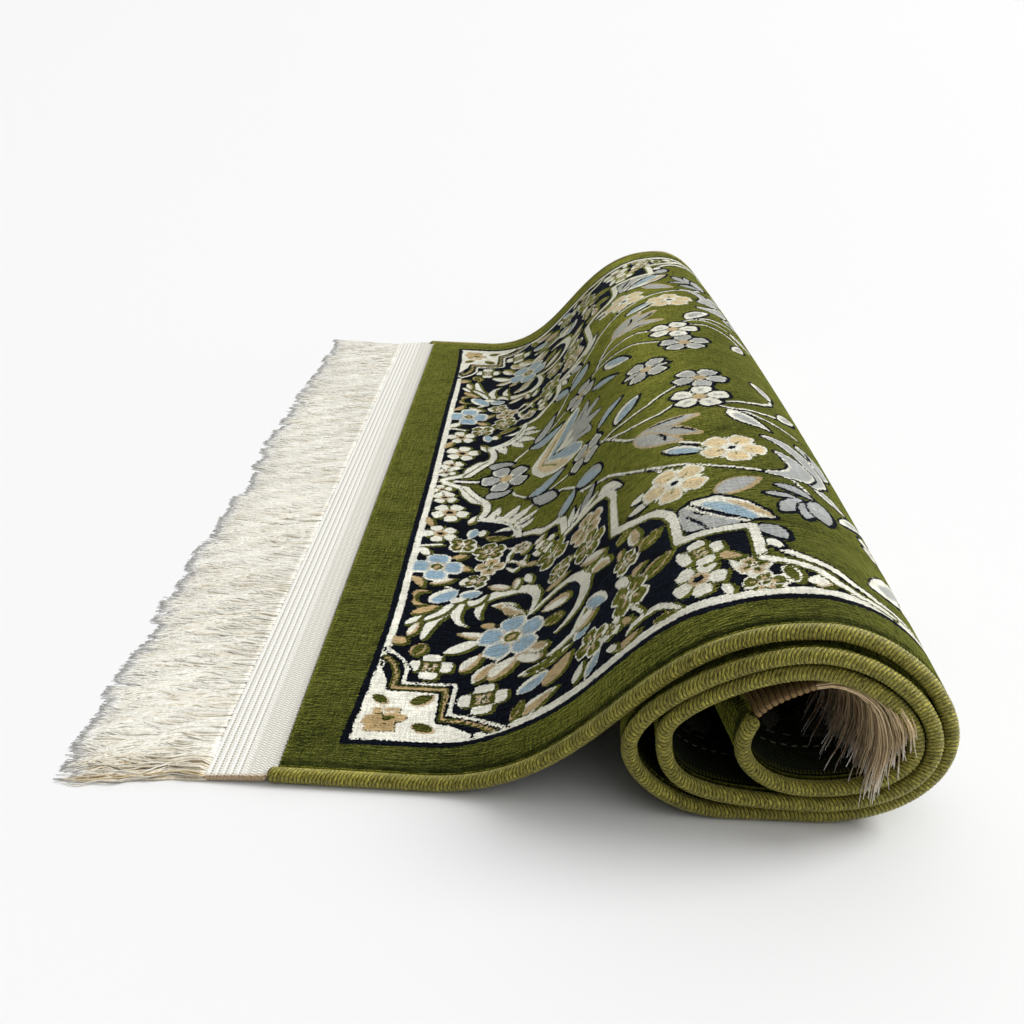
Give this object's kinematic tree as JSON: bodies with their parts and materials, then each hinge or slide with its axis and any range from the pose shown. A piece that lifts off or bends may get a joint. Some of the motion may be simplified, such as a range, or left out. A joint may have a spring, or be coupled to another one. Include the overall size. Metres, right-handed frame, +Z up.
{
  "type": "prayer rug",
  "caption": "Fringed prayer rug of cut pile with overcast long edges, its one end lying flat and the rest wound into a loose roll that rests on the floor.",
  "frame": {"origin": "middle of the bounding box on the floor", "axes": "+X along the rug from its flat fringed end towards the roll, +Y along the roll's axis and across the rug, +Z up"},
  "size_m": [0.4874, 0.8184, 0.1259],
  "materials": {
    "pile": "cut pile, matt",
    "edge_yarn": "overcast yarn, soft sheen",
    "fringe": "silky yarn"
  },
  "bodies": {
    "root": {"rug": "pile", "edge_cord_near": "edge_yarn", "edge_cord_far": "edge_yarn", "fringe_outer": "fringe", "fringe_inner": "fringe"}
  },
  "joints": []
}
